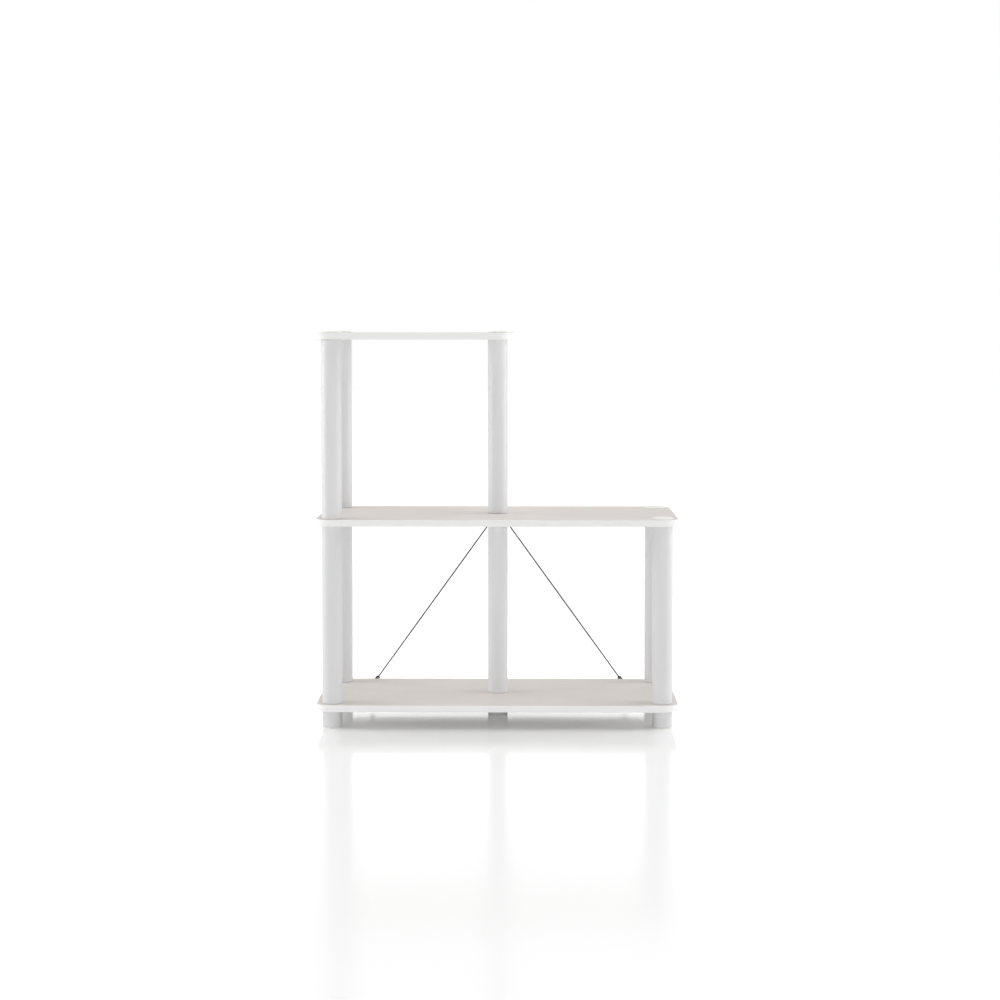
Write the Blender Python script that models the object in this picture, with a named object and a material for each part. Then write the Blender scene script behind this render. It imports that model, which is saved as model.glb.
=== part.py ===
"""Low stepped shelf: three thin boards on round tubes that screw into each other through the boards.

The floor is z = 0 and the middle post stands on the origin. +X is to the right, +Y to the back.
The left half has two tiers, the right half one, and two thin rods brace the back of the lower tier.
"""

import math

import bmesh
import bpy

MM = 0.001

# Layout of the posts and boards
post_spacing_across = 311 * MM
post_spacing_deep = 235 * MM
board_margin = 30 * MM
board_thickness = 12.5 * MM
foot_height = 33.3 * MM
bay_height = 336.5 * MM
seat_gap = 0.3 * MM

# Edge band round each board
band_thickness = 1.0 * MM
band_chamfer = 0.5 * MM

# Tubes
tube_diameter = 38 * MM
tube_wall = 1.8 * MM

# Plugs pressed into the tube ends
plug_fit_gap = 0.3 * MM
plug_chamfer = 0.8 * MM
stud_plug_length = 24 * MM
socket_floor = 3 * MM
socket_lead_in = 0.8 * MM
glide_flange_height = 2 * MM
glide_edge = 0.6 * MM
glide_body_height = 6 * MM

# Screwed joint: a threaded stud that passes through the board into a socket
stud_diameter = 12 * MM
stud_hole_clearance = 0.5 * MM
thread_pitch = 5 * MM
thread_depth = 1.1 * MM
thread_clearance = 0.4 * MM
thread_run_in = 1.5 * MM
stud_tip_length = 1.2 * MM
stud_end_clearance = 2 * MM

# Caps that close the tops of the posts
cap_diameter = 40 * MM
cap_rim_height = 0.8 * MM
cap_rise = 2.7 * MM

# Brace at the back
rod_diameter = 2.5 * MM
rod_bend_radius = 2 * MM
rod_tail = 0.6 * MM
eye_clearance = 0.5 * MM
eye_wall = 2.25 * MM
eye_reach = 9.6 * MM
brace_plate_thickness = 3 * MM
brace_plate_edge = 0.5 * MM
brace_foot_inset = 61.4 * MM
top_eye_offset = 8 * MM
top_eye_drop = 14.4 * MM
top_plate_lobe_radius = 4.5 * MM

# Screws that hold the brace plates to the boards
screw_diameter = 3 * MM
screw_length = 14 * MM
screw_point_length = 3 * MM
screw_point_radius = 0.4 * MM
screw_head_diameter = 6.4 * MM
screw_rim_height = 0.6 * MM
screw_head_rise = 1.3 * MM
screw_hole_gap = 0.3 * MM
screw_end_gap = 1 * MM
screw_slot_width = 0.8 * MM
screw_slot_length = 3.2 * MM
screw_slot_depth = 0.9 * MM

# One overrun serves every cut
cut_overrun = 2 * MM

# How finely round shapes are divided
round_segments = 32
hidden_segments = 16
corner_segments = 8
dome_segments = 3
bend_segments = 4
plate_edge_segments = 2
thread_turns = 2
thread_levels_per_turn = 4
thread_flat_share = 0.25
rod_bevel_resolution = 2
smooth_angle = math.radians(40)
plate_edge_angle = math.radians(50)
flat_angle = math.radians(1)

# Sizes that follow from the ones above
tube_radius = tube_diameter / 2
tube_bore_radius = tube_radius - tube_wall
plug_radius = tube_bore_radius - plug_fit_gap
stud_radius = stud_diameter / 2
stud_hole_radius = stud_radius + stud_hole_clearance
joint_depth = seat_gap + board_thickness + seat_gap
thread_length = thread_pitch * thread_turns
stud_length = joint_depth + thread_run_in + thread_length + stud_tip_length
socket_depth = stud_length - joint_depth + stud_end_clearance
socket_length = socket_depth + socket_floor
corner_radius = board_margin
half_depth = post_spacing_deep / 2 + board_margin
half_width = post_spacing_across + board_margin
rod_radius = rod_diameter / 2
eye_hole_radius = rod_radius + eye_clearance
eye_radius = eye_hole_radius + eye_wall
brace_foot_offset = post_spacing_across - brace_foot_inset
screw_radius = screw_diameter / 2
screw_hole_radius = screw_radius + screw_hole_gap

# Heights of the boards' undersides and tops
bottom_underside = foot_height
bottom_top = bottom_underside + board_thickness
middle_underside = bottom_top + bay_height
middle_top = middle_underside + board_thickness
top_underside = middle_top + bay_height
top_top = top_underside + board_thickness

# Places along Y of the layers behind the boards
plate_front = half_depth + seat_gap
plate_back = plate_front + brace_plate_thickness
rod_axis_depth = plate_back + seat_gap + rod_radius

post_places = {
    "front_left": (-post_spacing_across, -post_spacing_deep / 2),
    "rear_left": (-post_spacing_across, post_spacing_deep / 2),
    "middle": (0, 0),
    "front_right": (post_spacing_across, -post_spacing_deep / 2),
    "rear_right": (post_spacing_across, post_spacing_deep / 2),
}
tall_posts = ("front_left", "rear_left", "middle")


def clear_scene():
    for old in list(bpy.data.objects):
        bpy.data.objects.remove(old)


def linear(level):
    """A screen grey from 0 to 255 as the linear value that a shader takes."""
    value = level / 255
    if value <= 0.04045:
        return value / 12.92
    return ((value + 0.055) / 1.055) ** 2.4


def make_material(name, screen_colour, roughness, metallic):
    material = bpy.data.materials.new(name)
    material.use_nodes = True
    shader = material.node_tree.nodes["Principled BSDF"]
    colour = [linear(level) for level in screen_colour]
    shader.inputs["Base Color"].default_value = (*colour, 1)
    shader.inputs["Roughness"].default_value = roughness
    shader.inputs["Metallic"].default_value = metallic
    material.diffuse_color = (*colour, 1)
    return material


def skin(mesh, first, second):
    """Faces between two loops of points. One may have fewer points, or be a single point."""
    count = max(len(first), len(second))
    for step in range(count):
        corners = []
        for loop, ahead in ((first, 0), (first, 1), (second, 1), (second, 0)):
            corners.append(loop[(step + ahead) * len(loop) // count % len(loop)])
        mesh.faces.new(list(dict.fromkeys(corners)))


def solid_from_loops(mesh, loops, closed_section=False):
    """A closed body over loops of points, with filled ends unless its section closes on itself."""
    made = []
    for points in loops:
        made.append([mesh.verts.new(point) for point in points])
    for first, second in zip(made, made[1:]):
        skin(mesh, first, second)
    if closed_section:
        skin(mesh, made[-1], made[0])
        return
    for end in (made[0], made[-1]):
        if len(end) > 1:
            mesh.faces.new(end)


def finish_object(name, mesh, material, smooth=True):
    bmesh.ops.recalc_face_normals(mesh, faces=mesh.faces)
    data = bpy.data.meshes.new(name)
    mesh.to_mesh(data)
    mesh.free()
    if smooth:
        data.shade_smooth()
        data.set_sharp_from_angle(angle=smooth_angle)
    data.materials.append(material)
    made = bpy.data.objects.new(name, data)
    bpy.context.collection.objects.link(made)
    return made


def circle(radius, height, segments):
    """A level of a turned shape. The radius may be a function of the angle, or zero on the axis."""
    if radius == 0:
        return [(0, 0, height)]
    points = []
    for step in range(segments):
        angle = 2 * math.pi * step / segments
        reach = radius(angle) if callable(radius) else radius
        points.append((reach * math.cos(angle), reach * math.sin(angle), height))
    return points


def turned(name, levels, material, closed_section=False):
    """A body turned about Z, from levels of radius, height and number of segments."""
    mesh = bmesh.new()
    loops = [circle(*level) for level in levels]
    solid_from_loops(mesh, loops, closed_section)
    return finish_object(name, mesh, material)


def thread_radius_at(height):
    """The stud's outer radius round one level of its right-hand thread."""

    def radius(angle):
        phase = (height / thread_pitch - angle / (2 * math.pi)) % 1
        distance = min(phase, 1 - phase)
        slope_share = 0.5 - thread_flat_share
        drop = min(max((distance - thread_flat_share / 2) / slope_share, 0), 1)
        return stud_radius - thread_depth * drop

    return radius


def stud_levels():
    """The threaded stud below a tube end or a cap, which seats just above a board."""
    root_radius = stud_radius - thread_depth
    thread_top = -(joint_depth + thread_run_in)
    levels = [
        (stud_radius, 0, hidden_segments),
        (stud_radius, -joint_depth, hidden_segments),
    ]
    for step in range(thread_turns * thread_levels_per_turn + 1):
        height = thread_top - thread_pitch * step / thread_levels_per_turn
        levels.append((thread_radius_at(height), height, hidden_segments))
    levels.append((root_radius, -stud_length, hidden_segments))
    return levels


def make_tube(name, length, material):
    levels = [
        (tube_radius, 0, round_segments),
        (tube_radius, length, round_segments),
        (tube_bore_radius, length, hidden_segments),
        (tube_bore_radius, 0, hidden_segments),
    ]
    return turned(name, levels, material, closed_section=True)


def make_socket(name, material):
    """A plug whose bored top lies level with the top end of its tube, at z = 0."""
    bore_radius = stud_radius + thread_clearance
    levels = [
        (bore_radius, -socket_depth, hidden_segments),
        (bore_radius, -socket_lead_in, hidden_segments),
        (bore_radius + socket_lead_in, 0, hidden_segments),
        (plug_radius, 0, hidden_segments),
        (plug_radius, plug_chamfer - socket_length, hidden_segments),
        (plug_radius - plug_chamfer, -socket_length, hidden_segments),
    ]
    return turned(name, levels, material)


def make_stud_plug(name, material):
    """A plug level with the lower end of its tube, at z = 0, with its stud below."""
    levels = [
        (plug_radius - plug_chamfer, stud_plug_length, hidden_segments),
        (plug_radius, stud_plug_length - plug_chamfer, hidden_segments),
        (plug_radius, 0, hidden_segments),
    ]
    return turned(name, levels + stud_levels(), material)


def make_glide(name, material):
    """The closed plug that a foot stands on, with its sole at z = 0."""
    body_top = glide_flange_height + glide_body_height
    levels = [
        (tube_radius - glide_edge, 0, round_segments),
        (tube_radius, glide_edge, round_segments),
        (tube_radius, glide_flange_height, round_segments),
        (plug_radius, glide_flange_height, hidden_segments),
        (plug_radius, body_top, hidden_segments),
    ]
    return turned(name, levels, material)


def make_cap(name, material):
    """A low domed cap, with its rim's underside at z = 0 and its stud below."""
    cap_radius = cap_diameter / 2
    levels = [(0, cap_rim_height + cap_rise, round_segments)]
    for step in range(1, dome_segments + 1):
        angle = math.pi / 2 * step / dome_segments
        height = cap_rim_height + cap_rise * math.cos(angle)
        levels.append((cap_radius * math.sin(angle), height, round_segments))
    levels.append((cap_radius, 0, round_segments))
    return turned(name, levels + stud_levels(), material)


def board_outline(left, right, inset, height):
    """A board's outline with rounded corners, a given distance inside its outer edge."""
    radius = corner_radius - inset
    centres = (
        (right - corner_radius, half_depth - corner_radius),
        (left + corner_radius, half_depth - corner_radius),
        (left + corner_radius, corner_radius - half_depth),
        (right - corner_radius, corner_radius - half_depth),
    )
    points = []
    for quarter, (centre_x, centre_y) in enumerate(centres):
        for step in range(corner_segments + 1):
            angle = math.pi / 2 * (quarter + step / corner_segments)
            x = centre_x + radius * math.cos(angle)
            y = centre_y + radius * math.sin(angle)
            points.append((x, y, height))
    return points


def add_cylinder(mesh, radius, low, high, place, along_y=False):
    """Adds a cylinder to a mesh, between two distances along Z, or along Y."""
    points = []
    for distance in (low, high):
        level = circle(radius, distance, hidden_segments)
        if along_y:
            level = [(x, z, y) for x, y, z in level]
        points.append([(x + place[0], y + place[1], z + place[2]) for x, y, z in level])
    solid_from_loops(mesh, points)


def cut_with(target, mesh, name):
    """Cuts the target with a mesh of separate closed shapes."""
    cutter = finish_object(name, mesh, target.data.materials[0], smooth=False)
    cutter.hide_render = True
    cutter.display_type = "WIRE"
    cutter.parent = target.parent
    cut = target.modifiers.new(name, "BOOLEAN")
    cut.operation = "DIFFERENCE"
    cut.solver = "EXACT"
    cut.object = cutter
    return cutter


def screw_holes(screw_places, underside):
    """Pilot holes in a board's rear edge, at half its thickness."""
    mesh = bmesh.new()
    deepest = plate_back + seat_gap - screw_length - screw_end_gap
    for x in screw_places:
        place = (x, 0, underside + board_thickness / 2)
        add_cylinder(mesh, screw_hole_radius, deepest, half_depth + cut_overrun, place, True)
    return mesh


def make_board(name, left, right, underside, posts, screw_places, board_finish, band_finish):
    """A board with its stud holes and its edge band, whose underside is at the given height."""
    top = underside + board_thickness
    core_inset = band_thickness + seat_gap
    mesh = bmesh.new()
    loops = [board_outline(left, right, core_inset, height) for height in (underside, top)]
    solid_from_loops(mesh, loops)
    core = finish_object(name, mesh, board_finish, smooth=False)
    holes = bmesh.new()
    for post in posts:
        place = (*post_places[post], 0)
        low = underside - cut_overrun
        add_cylinder(holes, stud_hole_radius, low, top + cut_overrun, place)
    cut_with(core, holes, name + "_stud_holes")

    mesh = bmesh.new()
    loops = [
        board_outline(left, right, band_chamfer, underside),
        board_outline(left, right, 0, underside + band_chamfer),
        board_outline(left, right, 0, top - band_chamfer),
        board_outline(left, right, band_chamfer, top),
        board_outline(left, right, band_thickness, top),
        board_outline(left, right, band_thickness, underside),
    ]
    solid_from_loops(mesh, loops, closed_section=True)
    band = finish_object(name + "_edge_band", mesh, band_finish)
    if screw_places:
        for piece in (core, band):
            holes = screw_holes(screw_places, underside)
            cut_with(piece, holes, piece.name + "_screw_holes")


def make_post_empty(post):
    """An empty on the floor under a post, which carries the post's pieces."""
    empty = bpy.data.objects.new("post_" + post, None)
    empty.location = (*post_places[post], 0)
    bpy.context.collection.objects.link(empty)
    return empty


def seat(piece, carrier, height):
    piece.parent = carrier
    piece.location = (0, 0, height)


def make_foot(post, carrier, tube_finish, plug_finish):
    """The short tube under the lowest board, with its glide and its socket."""
    low = glide_flange_height + seat_gap
    high = bottom_underside - seat_gap
    seat(make_tube("foot_tube_" + post, high - low, tube_finish), carrier, low)
    seat(make_glide("foot_glide_" + post, plug_finish), carrier, 0)
    seat(make_socket("foot_socket_" + post, plug_finish), carrier, high)


def make_tier(tier, post, carrier, floor, tube_finish, plug_finish):
    """One tube between two boards, with the stud plug and the socket in its ends."""
    low = floor + seat_gap
    high = floor + bay_height - seat_gap
    seat(make_tube(f"{tier}_tube_{post}", high - low, tube_finish), carrier, low)
    seat(make_stud_plug(f"{tier}_stud_plug_{post}", plug_finish), carrier, low)
    seat(make_socket(f"{tier}_socket_{post}", plug_finish), carrier, high)


def rounded_plate(name, lobes, holes, material):
    """A flat plate in the XZ plane over round lobes, with round holes. It is thick along +Y."""
    mesh = bmesh.new()
    for x, z, radius in lobes:
        for y in (0, brace_plate_thickness):
            for corner_x, corner_z, _ in circle(radius, 0, hidden_segments):
                mesh.verts.new((x + corner_x, y, z + corner_z))
    hull = bmesh.ops.convex_hull(mesh, input=mesh.verts)
    inner = [item for item in hull["geom_interior"] if isinstance(item, bmesh.types.BMVert)]
    bmesh.ops.delete(mesh, geom=inner, context="VERTS")
    bmesh.ops.dissolve_limit(mesh, angle_limit=flat_angle, verts=mesh.verts, edges=mesh.edges)
    plate = finish_object(name, mesh, material)
    edge = plate.modifiers.new("rounded_edge", "BEVEL")
    edge.width = brace_plate_edge
    edge.segments = plate_edge_segments
    edge.limit_method = "ANGLE"
    edge.angle_limit = plate_edge_angle
    mesh = bmesh.new()
    for x, z, radius in holes:
        far = brace_plate_thickness + cut_overrun
        add_cylinder(mesh, radius, -cut_overrun, far, (x, 0, z), True)
    cutter = cut_with(plate, mesh, name + "_holes")
    cutter.parent = plate
    return plate


def make_brace(side_name, side, rod_finish, plate_finish):
    """A rod from a plate on the lowest board up to the shared plate on the middle board."""
    foot_x = side * brace_foot_offset
    foot_z = bottom_underside + board_thickness / 2
    top_x = side * top_eye_offset
    top_z = middle_underside + board_thickness / 2 - top_eye_drop
    lean = math.atan2(top_x - foot_x, top_z - foot_z)
    reach = math.hypot(top_x - foot_x, top_z - foot_z)

    lobes = [(0, end * eye_reach, eye_radius) for end in (-1, 1)]
    holes = [(0, end * eye_reach, eye_hole_radius) for end in (-1, 1)]
    holes.append((0, 0, screw_hole_radius))
    plate = rounded_plate("brace_plate_" + side_name, lobes, holes, plate_finish)
    plate.location = (foot_x, plate_front, foot_z)
    plate.rotation_euler = (0, lean, 0)

    rod = make_rod("brace_rod_" + side_name, reach - eye_reach, rod_finish)
    start_x = foot_x + eye_reach * math.sin(lean)
    start_z = foot_z + eye_reach * math.cos(lean)
    rod.location = (start_x, rod_axis_depth, start_z)
    rod.rotation_euler = (0, lean, 0)


def make_rod(name, length, material):
    """A straight rod along Z whose two ends bend towards the front, through the eyes."""
    tail_end = rod_radius + seat_gap + brace_plate_thickness + rod_tail
    bend = []
    for step in range(bend_segments + 1):
        angle = math.pi / 2 * step / bend_segments
        y = rod_bend_radius * (math.sin(angle) - 1)
        z = rod_bend_radius * (1 - math.cos(angle))
        bend.append((y, z))
    half = [(-tail_end, 0)] + bend
    route = half + [(y, length - z) for y, z in reversed(half)]
    curve = bpy.data.curves.new(name, "CURVE")
    curve.dimensions = "3D"
    curve.bevel_depth = rod_radius
    curve.bevel_resolution = rod_bevel_resolution
    curve.use_fill_caps = True
    spline = curve.splines.new("POLY")
    spline.points.add(len(route) - 1)
    for point, (y, z) in zip(spline.points, route):
        point.co = (0, y, z, 1)
    curve.materials.append(material)
    rod = bpy.data.objects.new(name, curve)
    bpy.context.collection.objects.link(rod)
    return rod


def make_top_plate(material):
    """The plate at the middle of the middle board's rear edge, which holds both rods."""
    lobes = [(0, 0, top_plate_lobe_radius)]
    holes = [(0, 0, screw_hole_radius)]
    for side in (-1, 1):
        lobes.append((side * top_eye_offset, -top_eye_drop, eye_radius))
        holes.append((side * top_eye_offset, -top_eye_drop, eye_hole_radius))
    plate = rounded_plate("brace_plate_top", lobes, holes, material)
    plate.location = (0, plate_front, middle_underside + board_thickness / 2)


def screw_levels():
    """A pan-head screw along Z, with the underside of its head at z = 0."""
    head_radius = screw_head_diameter / 2
    levels = [(0, screw_rim_height + screw_head_rise, hidden_segments)]
    for step in range(1, dome_segments + 1):
        angle = math.pi / 2 * step / dome_segments
        height = screw_rim_height + screw_head_rise * math.cos(angle)
        levels.append((head_radius * math.sin(angle), height, hidden_segments))
    levels.append((head_radius, 0, hidden_segments))
    levels.append((screw_radius, 0, hidden_segments))
    levels.append((screw_radius, screw_point_length - screw_length, hidden_segments))
    levels.append((screw_point_radius, -screw_length, hidden_segments))
    return levels


def add_box(mesh, low, high):
    """Adds a box between two opposite corners."""
    loops = []
    for y in (low[1], high[1]):
        corners = ((low[0], low[2]), (high[0], low[2]), (high[0], high[2]), (low[0], high[2]))
        loops.append([(x, y, z) for x, z in corners])
    solid_from_loops(mesh, loops)


def make_screw(name, x, z, material):
    """A cross-slotted screw that holds a brace plate, driven in from the back."""
    screw = turned(name, screw_levels(), material)
    screw.location = (x, plate_back + seat_gap, z)
    screw.rotation_euler = (-math.pi / 2, 0, 0)
    head_top = screw_rim_height + screw_head_rise
    slot_floor = head_top - screw_slot_depth
    slot_end = head_top + cut_overrun
    long = screw_slot_length / 2
    short = screw_slot_width / 2
    for direction, half_x, half_y in (("long", long, short), ("cross", short, long)):
        slot = bmesh.new()
        add_box(slot, (-half_x, -half_y, slot_floor), (half_x, half_y, slot_end))
        cut_with(screw, slot, f"{name}_{direction}_slot").parent = screw


def make_shelf():
    clear_scene()
    board_finish = make_material("board_laminate", (214, 209, 204), 0.45, 0)
    band_finish = make_material("edge_band", (232, 231, 229), 0.4, 0)
    tube_finish = make_material("tube_plastic", (232, 233, 235), 0.35, 0)
    plug_finish = make_material("moulded_plastic", (228, 229, 231), 0.45, 0)
    rod_finish = make_material("brace_steel", (112, 114, 116), 0.35, 1)
    plate_finish = make_material("black_plastic", (22, 22, 23), 0.5, 0)
    screw_finish = make_material("black_screw", (40, 40, 42), 0.4, 1)

    full_screws = [-brace_foot_offset, brace_foot_offset]
    boards = (
        ("bottom_board", half_width, bottom_underside, tuple(post_places), full_screws),
        ("middle_board", half_width, middle_underside, tuple(post_places), [0]),
        ("top_board", board_margin, top_underside, tall_posts, []),
    )
    for name, right, underside, posts, screw_places in boards:
        make_board(
            name, -half_width, right, underside, posts, screw_places, board_finish, band_finish
        )

    for post in post_places:
        carrier = make_post_empty(post)
        make_foot(post, carrier, tube_finish, plug_finish)
        make_tier("lower", post, carrier, bottom_top, tube_finish, plug_finish)
        cap_height = middle_top + seat_gap
        if post in tall_posts:
            make_tier("upper", post, carrier, middle_top, tube_finish, plug_finish)
            cap_height = top_top + seat_gap
        seat(make_cap("cap_" + post, plug_finish), carrier, cap_height)

    make_brace("left", -1, rod_finish, plate_finish)
    make_brace("right", 1, rod_finish, plate_finish)
    make_top_plate(plate_finish)
    bottom_middle = bottom_underside + board_thickness / 2
    middle_middle = middle_underside + board_thickness / 2
    make_screw("brace_screw_left", -brace_foot_offset, bottom_middle, screw_finish)
    make_screw("brace_screw_right", brace_foot_offset, bottom_middle, screw_finish)
    make_screw("brace_screw_top", 0, middle_middle, screw_finish)


make_shelf()
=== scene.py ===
import math

import bmesh
import bpy
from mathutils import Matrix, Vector


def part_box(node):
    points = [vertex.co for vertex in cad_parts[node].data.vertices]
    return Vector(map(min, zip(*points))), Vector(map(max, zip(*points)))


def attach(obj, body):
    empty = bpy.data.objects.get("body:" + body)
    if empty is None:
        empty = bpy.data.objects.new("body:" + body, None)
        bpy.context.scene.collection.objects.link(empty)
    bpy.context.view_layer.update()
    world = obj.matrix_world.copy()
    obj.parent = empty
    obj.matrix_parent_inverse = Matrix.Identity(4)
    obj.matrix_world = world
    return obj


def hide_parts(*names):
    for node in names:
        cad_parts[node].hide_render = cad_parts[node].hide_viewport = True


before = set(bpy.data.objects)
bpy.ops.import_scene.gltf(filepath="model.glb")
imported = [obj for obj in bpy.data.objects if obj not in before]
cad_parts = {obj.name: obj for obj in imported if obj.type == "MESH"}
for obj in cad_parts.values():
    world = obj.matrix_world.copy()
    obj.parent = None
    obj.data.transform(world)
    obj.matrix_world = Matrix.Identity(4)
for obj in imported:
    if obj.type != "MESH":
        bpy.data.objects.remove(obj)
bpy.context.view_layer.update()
bpy.ops.object.select_all(action="DESELECT")

MM = 0.001

# Tubes, caps and the glides under the feet
tube_wall = 1.8 * MM
tube_end_rounding = 0.7 * MM
tube_bore_rounding = 0.3 * MM
cap_rim_height = 0.8 * MM
cap_rim_rounding = 0.35 * MM
stud_radius = 6 * MM
stud_root_radius = 4.9 * MM
thread_pitch = 5 * MM
thread_length = 10 * MM
thread_turns = 1.7
thread_run_in = 1.5 * MM
ridge_foot = 3.6 * MM
ridge_crest = 1.3 * MM
ridge_sinking = 0.6 * MM
ridge_section_sides = 4
stud_tip_length = 1.2 * MM
stud_tip_chamfer = 0.5 * MM
glide_flange_height = 2 * MM
glide_sole_rounding = 1.5 * MM
glide_body_gap = 0.1 * MM
glide_body_chamfer = 0.6 * MM

# Boards and their edge bands
corner_radius = 30 * MM
band_thickness = 1 * MM
band_rounding = 0.5 * MM
band_seam_width = 0.08 * MM
board_edge_softening = 0.12 * MM
stud_hole_radius = 6.5 * MM
screw_hole_radius = 1.8 * MM
screw_hole_depth = 14 * MM
band_joint_offset = 96 * MM
band_joint_width = 0.16 * MM
band_joint_depth = 0.35 * MM

# Brace
rod_radius = 1.25 * MM
rod_bend_radius = 2 * MM
rod_end_chamfer = 0.2 * MM
eye_lobe_radius = 4 * MM
top_screw_lobe_radius = 4.5 * MM
eye_hole_radius = 1.75 * MM
plate_edge_rounding = 0.55 * MM
eye_rim_rounding = 0.3 * MM

# Screws that hold the brace
screw_shank_radius = 1.5 * MM
screw_head_radius = 3.2 * MM
screw_rim_height = 0.6 * MM
screw_head_rise = 1.3 * MM
screw_point_length = 3 * MM
screw_point_radius = 0.4 * MM
recess_length = 3.4 * MM
recess_width = 0.75 * MM
recess_depth = 1.1 * MM

# Fineness of the round shapes
tube_sides = 72
stud_sides = 48
rod_sides = 20
corner_steps = 14
rounding_steps = 3
fine_rounding_steps = 2
dome_steps = 8
bend_steps = 8
round_profile = 0.5

# Turns
quarter_turn = math.pi / 2
full_turn = 2 * math.pi

# Cutting and joining
cut_overrun = 2 * MM
touching = 0.01 * MM

# How far a surface turns across an edge, in degrees
sharp_turn = 60
flat_turn = 1
smooth_turn = 35
plate_smooth_turn = 40
screw_smooth_turn = 40
cap_smooth_turn = 50
rod_smooth_turn = 50
large_face_weight = 100

# How much of a face's or an edge's direction goes up
level_face_share = 0.5
upright_edge_share = 0.9

posts = sorted(name.removeprefix("cap_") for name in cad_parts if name.startswith("cap_"))
boards = ("bottom_board", "middle_board", "top_board")
plug_kinds = ("foot_socket", "lower_socket", "upper_socket", "lower_stud_plug", "upper_stud_plug")


# Work in edit mode

def enter_edit(piece):
    bpy.context.view_layer.objects.active = piece
    bpy.ops.object.mode_set(mode="EDIT")
    bpy.ops.mesh.select_all(action="DESELECT")


def leave_edit():
    bpy.ops.object.mode_set(mode="OBJECT")


def select_faces(piece, wanted):
    bpy.context.tool_settings.mesh_select_mode = (False, False, True)
    bpy.ops.mesh.select_all(action="DESELECT")
    mesh = bmesh.from_edit_mesh(piece.data)
    for face in mesh.faces:
        face.select_set(wanted(face))
    bmesh.update_edit_mesh(piece.data)


def select_edges(piece, wanted):
    bpy.context.tool_settings.mesh_select_mode = (False, True, False)
    bpy.ops.mesh.select_all(action="DESELECT")
    mesh = bmesh.from_edit_mesh(piece.data)
    for edge in mesh.edges:
        if wanted(edge):
            edge.select_set(True)
    bmesh.update_edit_mesh(piece.data)


def edge_middle(edge):
    return (edge.verts[0].co + edge.verts[1].co) / 2


def edge_turn(edge):
    """How far a surface turns across an edge, in degrees."""
    return math.degrees(edge.calc_face_angle(0))


def edge_rise(edge):
    """The share of an edge's length that goes up."""
    step = edge.verts[1].co - edge.verts[0].co
    return abs(step.z) / step.length


def round_edges(width, steps=rounding_steps):
    bpy.ops.mesh.bevel(
        offset=width,
        segments=steps,
        profile=round_profile,
        affect="EDGES",
        clamp_overlap=True,
    )


# Work on whole objects

def pick(piece):
    bpy.ops.object.select_all(action="DESELECT")
    piece.select_set(True)
    bpy.context.view_layer.objects.active = piece


def apply_place(piece):
    pick(piece)
    bpy.ops.object.transform_apply(location=True, rotation=True, scale=True)


def apply_modifier(piece, modifier):
    pick(piece)
    bpy.ops.object.modifier_apply(modifier=modifier.name)


def combine(piece, other, operation):
    """Cuts another closed shape out of a piece, or unites the two, and deletes the other."""
    boolean = piece.modifiers.new("boolean", "BOOLEAN")
    boolean.operation = operation
    boolean.solver = "EXACT"
    boolean.object = other
    apply_modifier(piece, boolean)
    bpy.data.objects.remove(other)


def face_outwards(piece):
    enter_edit(piece)
    bpy.ops.mesh.select_all(action="SELECT")
    bpy.ops.mesh.remove_doubles(threshold=touching)
    bpy.ops.mesh.normals_make_consistent(inside=False)
    leave_edit()


def shade(piece, angle=smooth_turn):
    """Smooth shading up to an angle, in which the large faces keep their own normals."""
    pick(piece)
    bpy.ops.object.shade_smooth_by_angle(angle=math.radians(angle))
    weighted = piece.modifiers.new("weighted_normals", "WEIGHTED_NORMAL")
    weighted.keep_sharp = True
    weighted.weight = large_face_weight
    apply_modifier(piece, weighted)


def put_in(piece, name, node, slot, *materials):
    """Names a finished piece, gives it its finish and puts it in place of a CAD node."""
    piece.name = name
    piece.data.name = name
    piece.data.materials.clear()
    for material in materials:
        piece.data.materials.append(material)
    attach(piece, "root")
    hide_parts(node)
    return piece


def model_and_copy(model, nodes):
    """A piece modelled for the first of some like nodes, and a copy of it for each other one."""
    first = model(nodes[0])
    pieces = [first]
    for node in nodes[1:]:
        pick(first)
        bpy.ops.object.duplicate()
        copied = bpy.context.object
        copied.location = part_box(node)[0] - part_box(nodes[0])[0]
        apply_place(copied)
        pieces.append(copied)
    return pieces


def middle_of(node):
    """The middle of a node's box."""
    low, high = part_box(node)
    return (low + high) / 2


# Shapes that several pieces start from

def draw_up(place, levels, sides):
    """A round body along Z, drawn up from a filled circle through levels of radius and height."""
    first_radius, first_height = levels[0]
    bpy.ops.mesh.primitive_circle_add(
        vertices=sides,
        radius=first_radius,
        fill_type="NGON",
        location=Vector(place) + Vector((0, 0, first_height)),
    )
    body = bpy.context.object
    apply_place(body)
    enter_edit(body)
    bpy.ops.mesh.select_all(action="SELECT")
    radius, height = first_radius, first_height
    for next_radius, next_height in levels[1:]:
        bpy.ops.mesh.extrude_region_move(
            TRANSFORM_OT_translate={"value": (0, 0, next_height - height)}
        )
        centre = Vector(place) + Vector((0, 0, next_height))
        if next_radius == 0:
            bpy.ops.mesh.merge(type="CENTER")
            break
        share = next_radius / radius
        bpy.ops.transform.resize(value=(share, share, 1), center_override=centre)
        radius, height = next_radius, next_height
    leave_edit()
    face_outwards(body)
    return body


def block(low, high):
    """A plain block between two corners of its box."""
    bpy.ops.mesh.primitive_cube_add(size=1, location=(low + high) / 2, scale=high - low)
    made = bpy.context.object
    apply_place(made)
    return made


def slab(low, high, corner):
    """A flat board between two corners of its box, with its four upright edges rounded."""
    board = block(low, high)
    enter_edit(board)
    select_edges(board, lambda edge: edge_rise(edge) > upright_edge_share)
    round_edges(corner, corner_steps)
    leave_edit()
    return board


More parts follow.
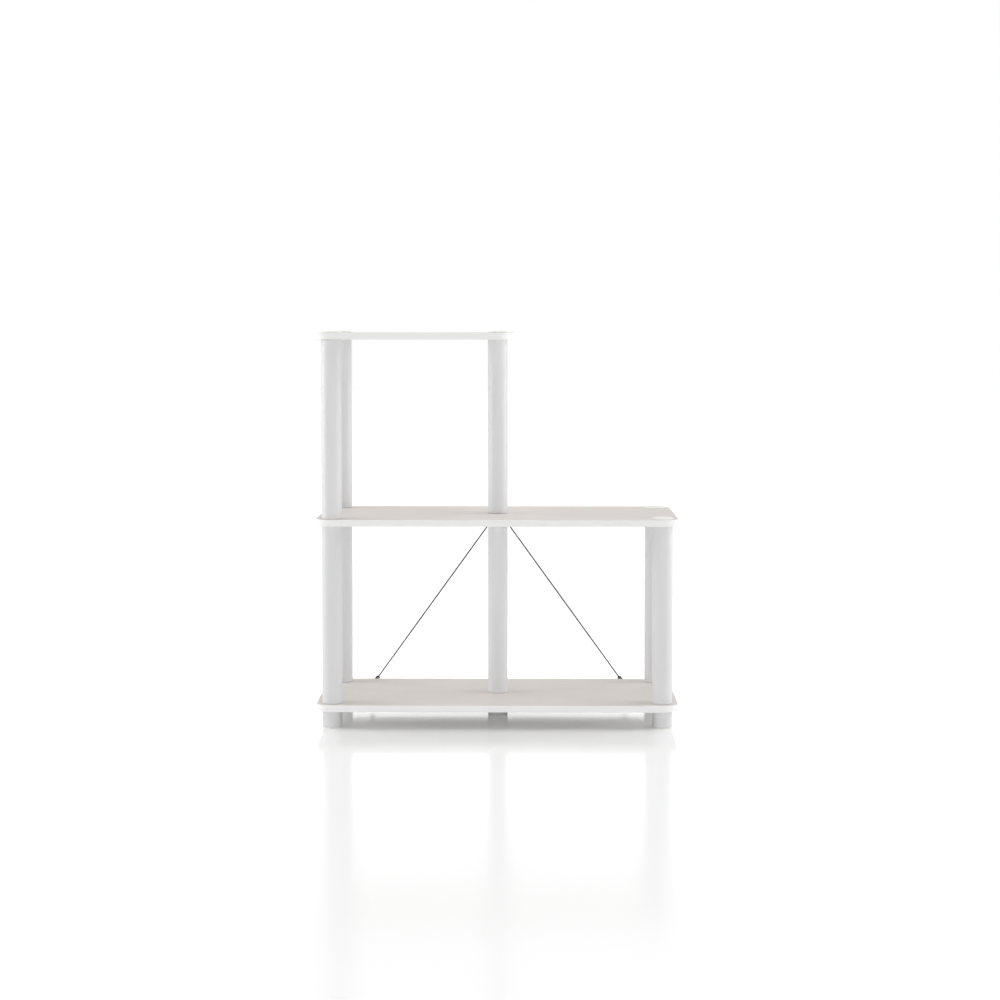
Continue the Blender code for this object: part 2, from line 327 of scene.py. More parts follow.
def cylinder_between(start, end, radius, sides):
    """A closed cylinder between two points."""
    start, end = Vector(start), Vector(end)
    turn = (end - start).to_track_quat("Z", "Y").to_euler()
    bpy.ops.mesh.primitive_cylinder_add(
        vertices=sides,
        radius=radius,
        depth=(end - start).length,
        location=(start + end) / 2,
        rotation=turn,
    )
    made = bpy.context.object
    apply_place(made)
    return made


# Tubes

def model_tube(node):
    """A tube with its bore, and with rounded ends."""
    low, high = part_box(node)
    radius = (high.x - low.x) / 2
    bpy.ops.mesh.primitive_cylinder_add(
        vertices=tube_sides, radius=radius, depth=high.z - low.z, location=(low + high) / 2
    )
    tube = bpy.context.object
    apply_place(tube)
    enter_edit(tube)
    select_faces(tube, lambda face: abs(face.normal.z) > level_face_share)
    bpy.ops.mesh.inset(thickness=tube_wall, depth=0)
    bpy.ops.mesh.bridge_edge_loops()
    centre = (low + high) / 2

    def reach(edge):
        away = edge_middle(edge) - centre
        return math.hypot(away.x, away.y)

    wall_middle = radius - tube_wall / 2
    select_edges(tube, lambda edge: edge_turn(edge) > sharp_turn and reach(edge) > wall_middle)
    round_edges(tube_end_rounding)
    select_edges(tube, lambda edge: edge_turn(edge) > sharp_turn and reach(edge) < wall_middle)
    round_edges(tube_bore_rounding, fine_rounding_steps)
    leave_edit()
    face_outwards(tube)
    shade(tube)
    return tube


def model_glide(node):
    """The plug that a foot stands on: a sole with a rounded edge, and a body inside the tube."""
    low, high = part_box(node)
    centre = (low + high) / 2
    radius = (high.x - low.x) / 2
    body_radius = radius - tube_wall - glide_body_gap
    levels = [(radius - loss, height) for loss, height in sole_rounding()]
    levels.append((radius, glide_flange_height))
    levels.append((body_radius, glide_flange_height))
    levels.append((body_radius, high.z - low.z - glide_body_chamfer))
    levels.append((body_radius - glide_body_chamfer, high.z - low.z))
    glide = draw_up((centre.x, centre.y, low.z), levels, tube_sides)
    shade(glide)
    return glide


def sole_rounding():
    """How far the glide's edge lies inside its side, and how high, from the sole up."""
    for step in range(rounding_steps + 1):
        angle = quarter_turn * step / rounding_steps
        loss = glide_sole_rounding * (1 - math.sin(angle))
        yield loss, glide_sole_rounding * (1 - math.cos(angle))


def thread_ridge(centre, top):
    """The helical ridge of a right-hand thread, from its top end down, closed at both ends."""
    sunk_radius = stud_root_radius - ridge_sinking
    depth = stud_radius - sunk_radius
    bpy.ops.mesh.primitive_plane_add(
        size=depth,
        location=((sunk_radius + stud_radius) / 2, 0, 0),
        rotation=(quarter_turn, 0, 0),
    )
    ridge = bpy.context.object
    apply_place(ridge)
    enter_edit(ridge)
    bpy.ops.mesh.select_all(action="SELECT")
    bpy.ops.transform.resize(value=(1, 1, ridge_foot / depth), center_override=(0, 0, 0))
    select_edges(ridge, lambda edge: edge_middle(edge).x > stud_radius - touching)
    bpy.ops.transform.resize(
        value=(1, 1, ridge_crest / ridge_foot), center_override=(stud_radius, 0, 0)
    )
    bpy.ops.mesh.select_all(action="SELECT")
    bpy.ops.mesh.delete(type="ONLY_FACE")
    leave_edit()
    screw = ridge.modifiers.new("thread", "SCREW")
    screw.axis = "Z"
    screw.angle = -full_turn * thread_turns
    screw.screw_offset = -thread_pitch * thread_turns
    screw.steps = round(stud_sides * thread_turns)
    screw.render_steps = screw.steps
    apply_modifier(ridge, screw)
    ridge.location = (centre.x, centre.y, top)
    apply_place(ridge)
    enter_edit(ridge)
    bpy.ops.mesh.select_all(action="SELECT")
    bpy.ops.mesh.fill_holes(sides=ridge_section_sides)
    leave_edit()
    face_outwards(ridge)
    return ridge


def model_cap(node):
    """A low domed cap with a softly rounded rim, and its stud below."""
    low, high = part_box(node)
    centre = (low + high) / 2
    radius = (high.x - low.x) / 2
    rim_low = nearest_board_top(high.z)
    rise = high.z - rim_low - cap_rim_height
    thread_top = low.z + stud_tip_length + thread_length
    levels = [
        (stud_root_radius - stud_tip_chamfer, low.z),
        (stud_root_radius, low.z + stud_tip_chamfer),
        (stud_root_radius, thread_top),
        (stud_radius, thread_top + thread_run_in),
        (stud_radius, rim_low),
        (radius - cap_rim_rounding, rim_low),
        (radius, rim_low + cap_rim_rounding),
        (radius, rim_low + cap_rim_height),
    ]
    for step in range(1, dome_steps):
        angle = quarter_turn * step / dome_steps
        levels.append((
            radius * math.cos(angle),
            rim_low + cap_rim_height + rise * math.sin(angle),
        ))
    levels.append((0, high.z))
    cap = draw_up((centre.x, centre.y, 0), levels, tube_sides)
    combine(cap, thread_ridge(centre, thread_top), "UNION")
    shade(cap, cap_smooth_turn)
    return cap


def nearest_board_top(height):
    """The seat of a cap: the top of the board just below a height."""
    tops = [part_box(board)[1].z for board in boards]
    return max(top for top in tops if top < height)


# Boards

def screw_nodes(board):
    """The brace screws whose middle lies within a board's thickness."""
    low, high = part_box(board)
    found = []
    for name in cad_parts:
        if name.startswith("brace_screw_") and low.z < middle_of(name).z < high.z:
            found.append(name)
    return found


def drill_screw_holes(piece, board):
    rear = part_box(board + "_edge_band")[1].y
    for name in screw_nodes(board):
        middle = middle_of(name)
        drill = cylinder_between(
            (middle.x, rear - screw_hole_depth, middle.z),
            (middle.x, rear + cut_overrun, middle.z),
            screw_hole_radius,
            stud_sides,
        )
        combine(piece, drill, "DIFFERENCE")


def model_board(board):
    """The laminated board inside its edge band, with its stud holes and pilot holes."""
    low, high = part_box(board + "_edge_band")
    inset = Vector((1, 1, 0)) * (band_thickness + band_seam_width)
    core = slab(low + inset, high - inset, corner_radius - inset.x)
    enter_edit(core)
    select_edges(core, lambda edge: edge_turn(edge) > sharp_turn)
    round_edges(board_edge_softening, fine_rounding_steps)
    leave_edit()
    for post in posts:
        axis = middle_of("foot_tube_" + post)
        if low.x < axis.x < high.x:
            drill = cylinder_between(
                (axis.x, axis.y, low.z - cut_overrun),
                (axis.x, axis.y, high.z + cut_overrun),
                stud_hole_radius,
                stud_sides,
            )
            combine(core, drill, "DIFFERENCE")
    drill_screw_holes(core, board)
    shade(core)
    return core


def model_band(board):
    """The plastic band round a board, with rounded edges and the joint where its ends meet."""
    low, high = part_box(board + "_edge_band")
    band = slab(low, high, corner_radius)
    enter_edit(band)
    select_faces(band, lambda face: abs(face.normal.z) > level_face_share)
    bpy.ops.mesh.inset(thickness=band_thickness, depth=0)
    bpy.ops.mesh.bridge_edge_loops()
    middle = (low + high) / 2
    corner = corner_radius - band_thickness / 2
    straight = (high - low) / 2 - Vector((1, 1, 0)) * corner_radius

    def on_outside(edge):
        away = edge_middle(edge) - middle
        past_x = max(abs(away.x) - straight.x, 0)
        past_y = max(abs(away.y) - straight.y, 0)
        return math.hypot(past_x, past_y) > corner

    select_edges(band, lambda edge: edge_turn(edge) > sharp_turn and on_outside(edge))
    round_edges(band_rounding)
    leave_edit()
    face_outwards(band)
    joint = middle.x + band_joint_offset
    groove = block(
        Vector((joint, high.y - band_joint_depth, low.z - cut_overrun)),
        Vector((joint + band_joint_width, high.y + cut_overrun, high.z + cut_overrun)),
    )
    combine(band, groove, "DIFFERENCE")
    drill_screw_holes(band, board)
    shade(band)
    return band


# Brace

def rod_ends(side):
    """The lower and the upper end of a rod's axis, where it bends forwards."""
    low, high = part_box("brace_rod_" + side)
    depth = high.y - rod_radius
    left, right = low.x + rod_radius, high.x - rod_radius
    foot, top = (left, right) if side == "left" else (right, left)
    lower = Vector((foot, depth, low.z + rod_radius))
    upper = Vector((top, depth, high.z - rod_radius))
    return lower, upper


def model_rod(side):
    """A wire rod whose two ends bend forwards through the eyes of the plates."""
    lower, upper = rod_ends(side)
    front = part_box("brace_rod_" + side)[0].y
    forwards = Vector((0, -1, 0))
    up = (upper - lower).normalized()
    tail = lower.y - front - rod_bend_radius
    start = Vector((lower.x, front, lower.z))
    bpy.ops.mesh.primitive_circle_add(
        vertices=rod_sides,
        radius=rod_radius,
        fill_type="NGON",
        location=start,
        rotation=(quarter_turn, 0, 0),
    )
    rod = bpy.context.object
    apply_place(rod)
    enter_edit(rod)
    bpy.ops.mesh.select_all(action="SELECT")
    bpy.ops.mesh.extrude_region_move(TRANSFORM_OT_translate={"value": -forwards * tail})
    bpy.ops.mesh.spin(
        steps=bend_steps,
        angle=quarter_turn,
        center=start - forwards * tail + up * rod_bend_radius,
        axis=forwards.cross(up),
    )
    straight = (upper - lower).length - 2 * rod_bend_radius
    bpy.ops.mesh.extrude_region_move(TRANSFORM_OT_translate={"value": up * straight})
    bpy.ops.mesh.spin(
        steps=bend_steps,
        angle=quarter_turn,
        center=upper - up * rod_bend_radius + forwards * rod_bend_radius,
        axis=forwards.cross(up),
    )
    bpy.ops.mesh.extrude_region_move(TRANSFORM_OT_translate={"value": forwards * tail})
    leave_edit()
    face_outwards(rod)
    enter_edit(rod)
    select_edges(rod, lambda edge: edge_turn(edge) > sharp_turn)
    round_edges(rod_end_chamfer, fine_rounding_steps)
    leave_edit()
    shade(rod, rod_smooth_turn)
    return rod


def model_plate(node, lobes, holes):
    """A moulded plate over round lobes, each (x, z, radius), with rounded edges and round holes."""
    low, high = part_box(node)
    discs = [
        cylinder_between((x, low.y, z), (x, high.y, z), radius, stud_sides)
        for x, z, radius in lobes
    ]
    for disc in discs:
        disc.select_set(True)
    plate = discs[0]
    bpy.context.view_layer.objects.active = plate
    bpy.ops.object.join()
    enter_edit(plate)
    bpy.ops.mesh.select_all(action="SELECT")
    bpy.ops.mesh.convex_hull()
    bpy.ops.mesh.select_all(action="SELECT")
    bpy.ops.mesh.dissolve_limited(angle_limit=math.radians(flat_turn))
    select_edges(plate, lambda edge: edge_turn(edge) > sharp_turn)
    round_edges(plate_edge_rounding)
    leave_edit()
    for x, z, radius in holes:
        drill = cylinder_between(
            (x, low.y - cut_overrun, z), (x, high.y + cut_overrun, z), radius, stud_sides
        )
        combine(plate, drill, "DIFFERENCE")
    enter_edit(plate)

    def on_rim(edge):
        if edge_turn(edge) < sharp_turn:
            return False
        middle = edge_middle(edge)
        return any(
            math.hypot(middle.x - x, middle.z - z) < radius + touching for x, z, radius in holes
        )

    select_edges(plate, on_rim)
    round_edges(eye_rim_rounding, fine_rounding_steps)
    leave_edit()
    shade(plate, plate_smooth_turn)
    return plate


def model_side_plate(side):
    """A lower plate: an eye for the rod, the same eye opposite, and the screw between."""
    node = "brace_plate_" + side
    middle = middle_of(node)
    eye = rod_ends(side)[0]
    mirrored = 2 * middle - eye
    lobes = [(point.x, point.z, eye_lobe_radius) for point in (eye, mirrored)]
    holes = [(point.x, point.z, eye_hole_radius) for point in (eye, mirrored)]
    holes.append((middle.x, middle.z, screw_hole_radius))
    return model_plate(node, lobes, holes)


def model_top_plate():
    """The upper plate, which the two rods share: the screw above and an eye on each side."""
    screw = middle_of("brace_screw_top")
    lobes = [(screw.x, screw.z, top_screw_lobe_radius)]
    holes = [(screw.x, screw.z, screw_hole_radius)]
    for side in ("left", "right"):
        eye = rod_ends(side)[1]
        lobes.append((eye.x, eye.z, eye_lobe_radius))
        holes.append((eye.x, eye.z, eye_hole_radius))
    return model_plate("brace_plate_top", lobes, holes)


def model_screw(node):
    """A pan-head screw with a cross recess, driven in from the back."""
    low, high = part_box(node)
    head_low = high.y - screw_rim_height - screw_head_rise
    length = head_low - low.y
    levels = [
        (screw_point_radius, -length),
        (screw_shank_radius, screw_point_length - length),
        (screw_shank_radius, 0),
        (screw_head_radius, 0),
        (screw_head_radius, screw_rim_height),
    ]
    for step in range(1, dome_steps):
        angle = quarter_turn * step / dome_steps
        levels.append((
            screw_head_radius * math.cos(angle),
            screw_rim_height + screw_head_rise * math.sin(angle),
        ))
    levels.append((0, screw_rim_height + screw_head_rise))
    screw = draw_up((0, 0, 0), levels, stud_sides)
    recess_floor = screw_rim_height + screw_head_rise - recess_depth
    for across, along in ((recess_length, recess_width), (recess_width, recess_length)):
        blade = block(
            Vector((-across / 2, -along / 2, recess_floor)),
            Vector((across / 2, along / 2, recess_floor + cut_overrun)),
        )
        combine(screw, blade, "DIFFERENCE")
    screw.rotation_euler = (-quarter_turn, 0, 0)
    middle = middle_of(node)
    screw.location = (middle.x, head_low, middle.z)
    apply_place(screw)
    shade(screw, screw_smooth_turn)
    return screw


# Materials

# The curve between a screen's levels and linear values
brightest_level = 255
curve_start = 0.04045
curve_start_slope = 12.92
curve_offset = 0.055
curve_power = 2.4

# A noise lies mostly between these two values
noise_start = 0.3
noise_end = 0.7


def screen(red, green, blue):
    """A colour given as it shows on a screen, from 0 to 255, in a shader's linear values."""
    values = []
    for level in (red, green, blue):
        value = level / brightest_level
        if value <= curve_start:
            values.append(value / curve_start_slope)
        else:
            values.append(((value + curve_offset) / (1 + curve_offset)) ** curve_power)
    return (*values, 1)


class Finish:
    """A material under construction: its nodes, its shader and its place on the object."""

    def __init__(self, name, colour, roughness, metallic=0.0, specular=0.5):
        self.material = bpy.data.materials.new(name)
        self.material.use_nodes = True
        self.nodes = self.material.node_tree.nodes
        self.links = self.material.node_tree.links
        self.shader = self.nodes["Principled BSDF"]
        self.shader.inputs["Base Color"].default_value = colour
        self.shader.inputs["Roughness"].default_value = roughness
        self.shader.inputs["Metallic"].default_value = metallic
        self.shader.inputs["Specular IOR Level"].default_value = specular
        self.colour = colour
        self.places = self.nodes.new("ShaderNodeTexCoord").outputs["Object"]

    def stretched(self, scale, turn=(0, 0, 0)):
        """The places on the object for a pattern that runs one way."""
        mapping = self.nodes.new("ShaderNodeMapping")
        mapping.inputs["Scale"].default_value = scale
        mapping.inputs["Rotation"].default_value = turn
        self.links.new(self.places, mapping.inputs["Vector"])
        return mapping.outputs["Vector"]

    def noise(self, size, detail=3.0, rough=0.5, places=None):
        """A noise whose spots are about a given size across."""
        noise = self.nodes.new("ShaderNodeTexNoise")
        noise.inputs["Scale"].default_value = 1 / size
        noise.inputs["Detail"].default_value = detail
        noise.inputs["Roughness"].default_value = rough
        self.links.new(places or self.places, noise.inputs["Vector"])
        return noise.outputs["Fac"]

    def between(self, factor, low, high):
        """Spreads a noise between two values."""
        spread = self.nodes.new("ShaderNodeMapRange")
        spread.inputs["From Min"].default_value = noise_start
        spread.inputs["From Max"].default_value = noise_end
        spread.inputs["To Min"].default_value = low
        spread.inputs["To Max"].default_value = high
        self.links.new(factor, spread.inputs["Value"])
        return spread.outputs["Result"]

    def vary_colour(self, factor, other, amount):
        """Mixes another colour in, by a noise, up to an amount."""
        mix = self.nodes.new("ShaderNodeMix")
        mix.data_type = "RGBA"
        current = self.shader.inputs["Base Color"]
        if current.is_linked:
            self.links.new(current.links[0].from_socket, mix.inputs["A"])
        else:
            mix.inputs["A"].default_value = self.colour
        mix.inputs["B"].default_value = other
        self.links.new(self.between(factor, 0, amount), mix.inputs["Factor"])
        self.links.new(mix.outputs["Result"], current)

    def vary_roughness(self, factor, low, high):
        """Spreads the roughness between two values, by a noise."""
        self.links.new(self.between(factor, low, high), self.shader.inputs["Roughness"])

    def bump(self, height, distance, strength=1.0):
        """Raises the surface by a noise. Later calls lie on top of earlier ones."""
        bump = self.nodes.new("ShaderNodeBump")
        bump.inputs["Distance"].default_value = distance
        bump.inputs["Strength"].default_value = strength
        normal = self.shader.inputs["Normal"]
        if normal.is_linked:
            self.links.new(normal.links[0].from_socket, bump.inputs["Normal"])
        self.links.new(height, bump.inputs["Height"])
        self.links.new(bump.outputs["Normal"], normal)


def laminate():
    """Warm pale grey melamine with a fine pearl embossing and a faint mottle."""
    finish = Finish("satin_laminate", screen(230, 225, 221), roughness=0.68, specular=0.06)
    mottle = finish.noise(size=60 * MM, detail=4)
    pearl = finish.noise(size=0.9 * MM, detail=2)
    sheen = finish.noise(size=18 * MM, detail=4)
    embossing = finish.noise(size=0.7 * MM, detail=3, rough=0.6)
    finish.vary_colour(mottle, screen(222, 216, 211), amount=0.35)
    finish.vary_colour(pearl, screen(238, 234, 231), amount=0.25)
    finish.vary_roughness(sheen, low=0.63, high=0.73)
    finish.bump(embossing, distance=0.03 * MM, strength=0.6)
    return finish.material


def backing_paper():
    """The plainer, whiter sheet under the boards."""
    finish = Finish("white_backing_sheet", screen(236, 235, 232), roughness=0.42)
    mottle = finish.noise(size=50 * MM, detail=4)
    sheen = finish.noise(size=16 * MM, detail=4)
    grain = finish.noise(size=0.6 * MM, detail=3, rough=0.6)
    finish.vary_colour(mottle, screen(228, 226, 222), amount=0.4)
    finish.vary_roughness(sheen, low=0.38, high=0.48)
    finish.bump(grain, distance=0.01 * MM, strength=0.5)
    return finish.material


def raw_particle_board():
    """The chips that show only inside the drilled holes."""
    finish = Finish("raw_particle_board", screen(186, 158, 120), roughness=0.85)
    dark_chips = finish.noise(size=2.5 * MM, detail=4, rough=0.7)
    pale_chips = finish.noise(size=0.8 * MM, detail=2)
    gaps = finish.noise(size=1.2 * MM, detail=4, rough=0.7)
    finish.vary_colour(dark_chips, screen(128, 98, 66), amount=0.8)
    finish.vary_colour(pale_chips, screen(214, 192, 158), amount=0.5)
    finish.bump(gaps, distance=0.3 * MM)
    return finish.material


def edge_band_plastic():
    """White edge band with the faint long streaks of its rolling."""
    finish = Finish("white_edge_band", screen(238, 238, 237), roughness=0.5, specular=0.15)
    along = finish.stretched(scale=(0.03, 0.03, 1))
    streaks = finish.noise(size=0.6 * MM, detail=3, rough=0.55, places=along)
    sheen = finish.noise(size=12 * MM, detail=4)
    finish.vary_colour(streaks, screen(231, 231, 230), amount=0.4)
    finish.vary_roughness(sheen, low=0.44, high=0.55)
    finish.bump(streaks, distance=0.02 * MM, strength=0.5)
    return finish.material


def tube_plastic():
    """White extruded plastic, with faint lines along the tube and a soft waviness."""
    finish = Finish("white_extruded_plastic", screen(212, 212, 213), roughness=0.38)
    along = finish.stretched(scale=(1, 1, 0.012))
    less_along = finish.stretched(scale=(1, 1, 0.3))
    lines = finish.noise(size=0.9 * MM, detail=3, rough=0.55, places=along)
    waves = finish.noise(size=28 * MM, detail=3, places=less_along)
    sheen = finish.noise(size=9 * MM, detail=5, rough=0.6)
    grain = finish.noise(size=0.35 * MM, detail=2)
    finish.vary_colour(waves, screen(207, 207, 208), amount=0.5)
    finish.vary_colour(lines, screen(217, 217, 218), amount=0.3)
    finish.vary_roughness(sheen, low=0.33, high=0.44)
    finish.bump(lines, distance=0.02 * MM, strength=0.5)
    finish.bump(grain, distance=0.008 * MM, strength=0.5)
    return finish.material


def moulded_plastic():
    """White moulded plastic with an even spark-eroded grain."""
    finish = Finish("white_moulded_plastic", screen(250, 249, 245), roughness=0.58, specular=0.3)
    mottle = finish.noise(size=14 * MM, detail=3)
    sheen = finish.noise(size=5 * MM, detail=4)
    grain = finish.noise(size=0.3 * MM, detail=3, rough=0.6)
    finish.vary_colour(mottle, screen(246, 245, 241), amount=0.5)
    finish.vary_roughness(sheen, low=0.52, high=0.64)
    finish.bump(grain, distance=0.02 * MM, strength=0.7)
    return finish.material


def drawn_wire(side):
    """Dull drawn steel with scratches along the rod."""
    lower, upper = rod_ends(side)
    lean = math.atan2(upper.x - lower.x, upper.z - lower.z)
    name = "drawn_steel_wire_" + side
    finish = Finish(name, screen(58, 59, 61), roughness=0.42, metallic=1)
    finish.shader.inputs["Specular Tint"].default_value = screen(140, 140, 140)
    along = finish.stretched(scale=(1, 1, 0.02), turn=(0, -lean, 0))
    scratches = finish.noise(size=0.25 * MM, detail=3, rough=0.6, places=along)
    mottle = finish.noise(size=22 * MM, detail=4)
    finish.vary_colour(scratches, screen(42, 43, 44), amount=0.6)
    finish.vary_colour(mottle, screen(72, 73, 75), amount=0.4)
    finish.vary_roughness(scratches, low=0.3, high=0.5)
    finish.bump(scratches, distance=0.02 * MM, strength=0.5)
    return finish.material


def black_plastic():
    """Black moulded plastic with a fine grain, a little greyer in places."""
    finish = Finish("black_moulded_plastic", screen(14, 14, 15), roughness=0.5, specular=0.25)
    mottle = finish.noise(size=3 * MM, detail=4)
    sheen = finish.noise(size=1.5 * MM, detail=3)
    grain = finish.noise(size=0.25 * MM, detail=3, rough=0.6)
    finish.vary_colour(mottle, screen(30, 30, 31), amount=0.5)
    finish.vary_roughness(sheen, low=0.42, high=0.6)
    finish.bump(grain, distance=0.02 * MM, strength=0.8)
    return finish.material


def black_oxide():
    """Black oxide on steel, with a faint mottle."""
    finish = Finish("black_oxide_steel", screen(34, 34, 36), roughness=0.38, metallic=1)
    mottle = finish.noise(size=1.2 * MM, detail=4)
    sheen = finish.noise(size=0.8 * MM, detail=4)
    grain = finish.noise(size=0.2 * MM, detail=2)
    finish.vary_colour(mottle, screen(56, 55, 53), amount=0.5)
    finish.vary_roughness(sheen, low=0.3, high=0.5)
    finish.bump(grain, distance=0.008 * MM, strength=0.6)
    return finish.material


# The dressed shelf

def dress_posts(tube_finish, plug_finish):
    kinds = (
        ("foot_tube", model_tube, "tube_plastic", tube_finish),
        ("lower_tube", model_tube, "tube_plastic", tube_finish),
        ("upper_tube", model_tube, "tube_plastic", tube_finish),
        ("foot_glide", model_glide, "moulded_plastic", plug_finish),
        ("cap", model_cap, "moulded_plastic", plug_finish),
    )
    for kind, model, slot, finish in kinds:
        nodes = nodes_of(kind)
        for node, piece in zip(nodes, model_and_copy(model, nodes)):
            put_in(piece, "dressed_" + node, node, slot, finish)
    for kind in plug_kinds:
        for node in nodes_of(kind):
            recolour(node, plug_finish)


def nodes_of(kind):
    """The nodes of one kind, one at each post that has it."""
    return sorted(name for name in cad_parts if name.startswith(kind + "_"))


def recolour(node, material):
    """A new material on a CAD node whose shape stays."""
    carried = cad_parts[node]
    for slot in carried.material_slots:
        slot.material = material


def sheet_of(face):
    """Which of a board's finishes a face has: 0 on top, 1 below, and 2 for the bare chips."""
    if face.normal.z > level_face_share:
        return 0
    if face.normal.z < -level_face_share:
        return 1
    return 2


def dress_boards(sheets, band_finish):
    for board in boards:
        core = put_in(model_board(board), "dressed_" + board, board, "board_laminate", *sheets)
        for face in core.data.polygons:
            face.material_index = sheet_of(face)
        band = board + "_edge_band"
        put_in(model_band(board), "dressed_" + band, band, "edge_band", band_finish)


def dress_brace(plate_finish, screw_finish):
    for side in ("left", "right"):
        rod = "brace_rod_" + side
        put_in(model_rod(side), "dressed_" + rod, rod, "brace_steel", drawn_wire(side))
        plate = "brace_plate_" + side
        put_in(model_side_plate(side), "dressed_" + plate, plate, "black_plastic", plate_finish)
    top = "brace_plate_top"
    put_in(model_top_plate(), "dressed_" + top, top, "black_plastic", plate_finish)
    screws = nodes_of("brace_screw")
    for screw, piece in zip(screws, model_and_copy(model_screw, screws)):
        put_in(piece, "dressed_" + screw, screw, "black_screw", screw_finish)


# Studio: floor, light and camera

white = (1, 1, 1, 1)
floor_size = 40
floor_drop = 0.1 * MM
floor_white = 0.9
floor_gloss_blend = 0.11
floor_gloss_roughness = 0.15
# The floor's painted glow, seen by the camera and in mirrors only: weak near the shelf, a painted
# shade round it, and strong far off, where it lifts the floor to white
floor_glow_near = 0.105
floor_glow_far = 0.37
glow_starts = 0.1
glow_ends = 4.4
studio_level = 0.47

# Lamps: places and sizes in metres, powers in watts
high_softbox_place = (4.05, 0.15, 2.95)
high_softbox_size = (3.3, 3.0)
high_softbox_power = 74
low_softbox_place = (4.5, 0.3, 0.75)
low_softbox_size = (3.0, 1.3)
low_softbox_power = 43
top_softbox_place = (0.3, 0, 3.2)
top_softbox_size = (1.6, 1.2)
top_softbox_power = 8
front_strip_place = (0, -5, 0.32)
front_strip_size = (7.0, 0.6)
front_strip_power = 66
back_strip_place = (0, 5, 0.97)
back_strip_size = (5.4, 0.5)
back_strip_power = 13.5
softbox_aim = (0, 0, 0.4)
strip_aim = (0, 0, 0.3)

camera_place = Vector((41.6, -3920.4, 756.1)) * MM
camera_pan = math.radians(0.546)
camera_tilt = math.radians(2.645)
camera_lens = 73.07
camera_shift = -0.08


def seen_directly(nodes, links):
    """1 for rays from the camera and for mirror and glass rays, 0 for rays that only light."""
    path = nodes.new("ShaderNodeLightPath")
    total = path.outputs["Is Camera Ray"]
    for other in ("Is Glossy Ray", "Is Transmission Ray"):
        add = nodes.new("ShaderNodeMath")
        add.operation = "MAXIMUM"
        links.new(total, add.inputs[0])
        links.new(path.outputs[other], add.inputs[1])
        total = add.outputs[0]
    return total


def floor_surface(nodes, links):
    """A matt pale sheet under a soft gloss that shows more the flatter it is looked at."""
    matt = nodes.new("ShaderNodeBsdfDiffuse")
    matt.inputs["Color"].default_value = (floor_white, floor_white, floor_white, 1)
    gloss = nodes.new("ShaderNodeBsdfGlossy")
    gloss.inputs["Color"].default_value = white
    gloss.inputs["Roughness"].default_value = floor_gloss_roughness
    facing = nodes.new("ShaderNodeLayerWeight")
    facing.inputs["Blend"].default_value = floor_gloss_blend
    surface = nodes.new("ShaderNodeMixShader")
    links.new(facing.outputs["Facing"], surface.inputs["Fac"])
    links.new(matt.outputs["BSDF"], surface.inputs[1])
    links.new(gloss.outputs["BSDF"], surface.inputs[2])
    return surface.outputs["Shader"]


def painted_floor_glow(nodes, links):
    """A painted glow of the floor's own that rises with distance, for the camera and mirrors only:
    weaker near the shelf, as painted shade round it.
    """
    places = nodes.new("ShaderNodeTexCoord")
    away = nodes.new("ShaderNodeVectorMath")
    away.operation = "LENGTH"
    links.new(places.outputs["Object"], away.inputs[0])
    level = nodes.new("ShaderNodeMapRange")
    level.interpolation_type = "SMOOTHSTEP"
    level.inputs["From Min"].default_value = glow_starts
    level.inputs["From Max"].default_value = glow_ends
    level.inputs["To Min"].default_value = floor_glow_near
    level.inputs["To Max"].default_value = floor_glow_far
    links.new(away.outputs["Value"], level.inputs["Value"])
    strength = nodes.new("ShaderNodeMath")
    strength.operation = "MULTIPLY"
    links.new(level.outputs["Result"], strength.inputs[0])
    links.new(seen_directly(nodes, links), strength.inputs[1])
    glow = nodes.new("ShaderNodeEmission")
    links.new(strength.outputs[0], glow.inputs["Strength"])
    return glow.outputs["Emission"]


def build_floor():
    """A plain pale floor with a soft sheen and a painted glow, which shows white where nothing shades
    it and the glow is strong.
    """
    bpy.ops.mesh.primitive_plane_add(size=floor_size, location=(0, 0, -floor_drop))
    floor = bpy.context.object
    floor.name = "studio_floor"
    material = bpy.data.materials.new("pale_floor")
    material.use_nodes = True
    nodes, links = material.node_tree.nodes, material.node_tree.links
    nodes.clear()
    both = nodes.new("ShaderNodeAddShader")
    links.new(floor_surface(nodes, links), both.inputs[0])
    links.new(painted_floor_glow(nodes, links), both.inputs[1])
    output = nodes.new("ShaderNodeOutputMaterial")
    links.new(both.outputs["Shader"], output.inputs["Surface"])
    floor.data.materials.append(material)


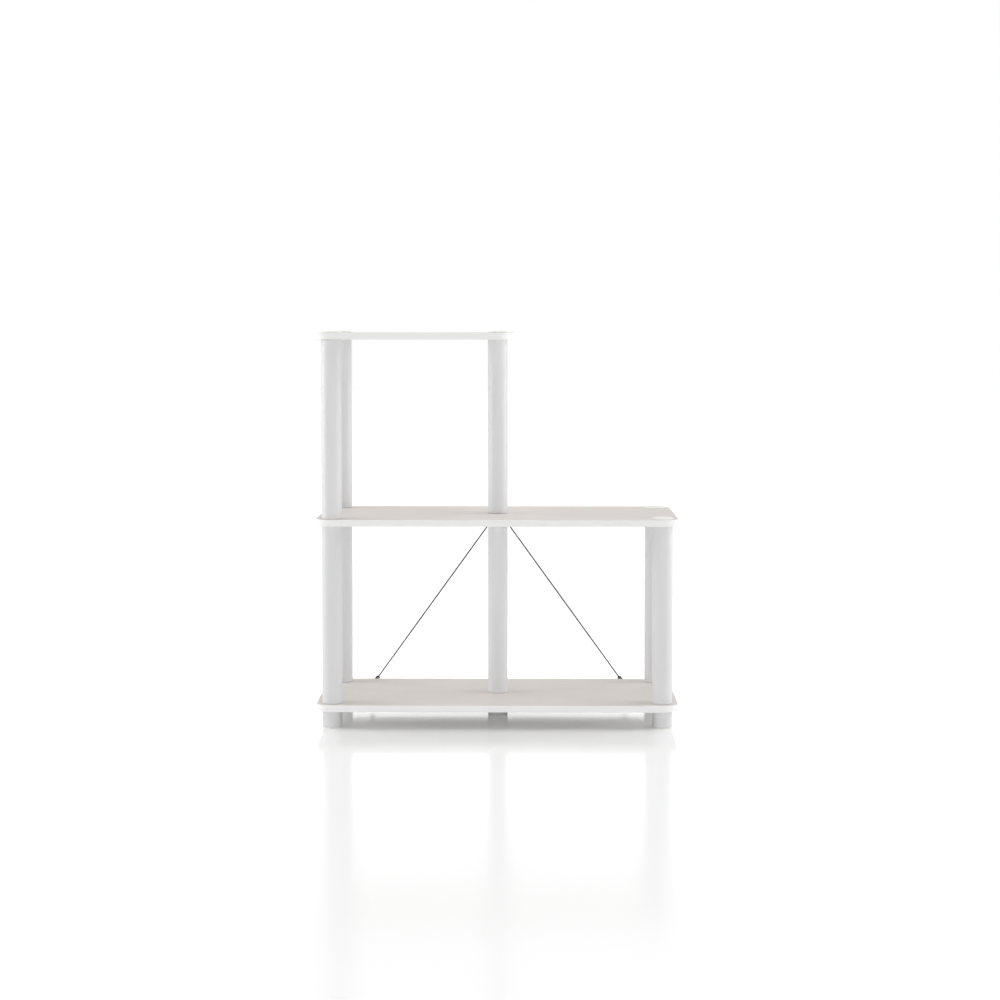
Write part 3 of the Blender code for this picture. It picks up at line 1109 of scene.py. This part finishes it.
def build_world():
    """An even pale surround that shows plain white."""
    world = bpy.data.worlds.new("studio")
    bpy.context.scene.world = world
    world.use_nodes = True
    nodes, links = world.node_tree.nodes, world.node_tree.links
    background = nodes["Background"]
    background.inputs["Color"].default_value = white
    level = nodes.new("ShaderNodeMapRange")
    level.inputs["To Min"].default_value = studio_level
    level.inputs["To Max"].default_value = 1
    links.new(seen_directly(nodes, links), level.inputs["Value"])
    links.new(level.outputs["Result"], background.inputs["Strength"])


def add_lamp(name, place, aim, size, power):
    """A soft rectangular lamp at a place, turned to a point."""
    bpy.ops.object.light_add(type="AREA", location=place)
    lamp = bpy.context.object
    lamp.name = name
    lamp.data.shape = "RECTANGLE"
    lamp.data.size, lamp.data.size_y = size
    lamp.data.energy = power
    lamp.visible_camera = False
    lamp.rotation_euler = (Vector(aim) - Vector(place)).to_track_quat("-Z", "Y").to_euler()


def add_side_lamp(side, name, place, size, power):
    """A softbox beside the object, on the left where side is -1 and on the right where it is 1."""
    across, back, height = place
    add_lamp(name, (side * across, back, height), softbox_aim, size, power)


def build_lamps():
    for side in (-1, 1):
        add_side_lamp(side, "high_softbox", high_softbox_place, high_softbox_size, high_softbox_power)
        add_side_lamp(side, "low_softbox", low_softbox_place, low_softbox_size, low_softbox_power)
    add_lamp("top_softbox", top_softbox_place, softbox_aim, top_softbox_size, top_softbox_power)
    add_lamp("front_strip", front_strip_place, strip_aim, front_strip_size, front_strip_power)
    add_lamp("back_strip", back_strip_place, strip_aim, back_strip_size, back_strip_power)


def build_camera():
    data = bpy.data.cameras.new("camera")
    camera = bpy.data.objects.new("camera", data)
    bpy.context.collection.objects.link(camera)
    camera.location = camera_place
    camera.rotation_euler = (quarter_turn - camera_tilt, 0, camera_pan)
    data.lens = camera_lens
    data.shift_y = camera_shift
    data.clip_end = floor_size
    bpy.context.scene.camera = camera


dress_posts(tube_plastic(), moulded_plastic())
dress_boards((laminate(), backing_paper(), raw_particle_board()), edge_band_plastic())
dress_brace(black_plastic(), black_oxide())
build_floor()
build_world()
build_lamps()
build_camera()
bpy.context.scene.view_settings.view_transform = "Standard"
